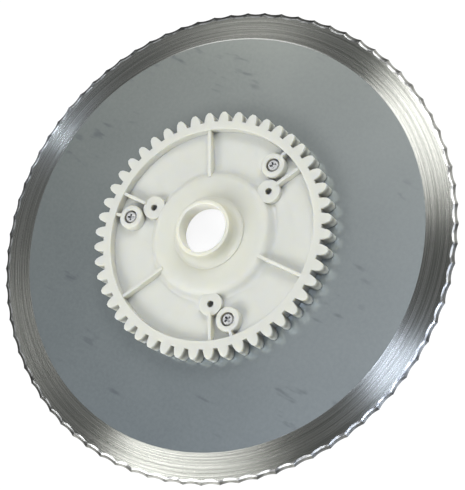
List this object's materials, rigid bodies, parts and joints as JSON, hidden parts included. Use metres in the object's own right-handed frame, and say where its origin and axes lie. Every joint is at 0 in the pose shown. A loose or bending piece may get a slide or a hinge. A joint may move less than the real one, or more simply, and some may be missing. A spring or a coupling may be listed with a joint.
{
  "type": "food slicer blade",
  "caption": "Round serrated steel slicer blade with a moulded plastic drive gear and hub screwed to its back.",
  "frame": {"origin": "centre of the disc at its flat front face, which lies on the table", "axes": "+Z along the axis towards the hub rim; +X through the middle of a pilot boss"},
  "size_m": [0.19, 0.19, 0.0146],
  "materials": {
    "blade_steel": "ground and polished ring, matte inner face",
    "gear_plastic": "moulded, smooth, off-white",
    "screw_steel": "bright"
  },
  "bodies": {
    "root": {"blade_disc": "blade_steel", "drive_gear": "gear_plastic", "screw_1": "screw_steel", "screw_2": "screw_steel", "screw_3": "screw_steel"}
  },
  "joints": []
}
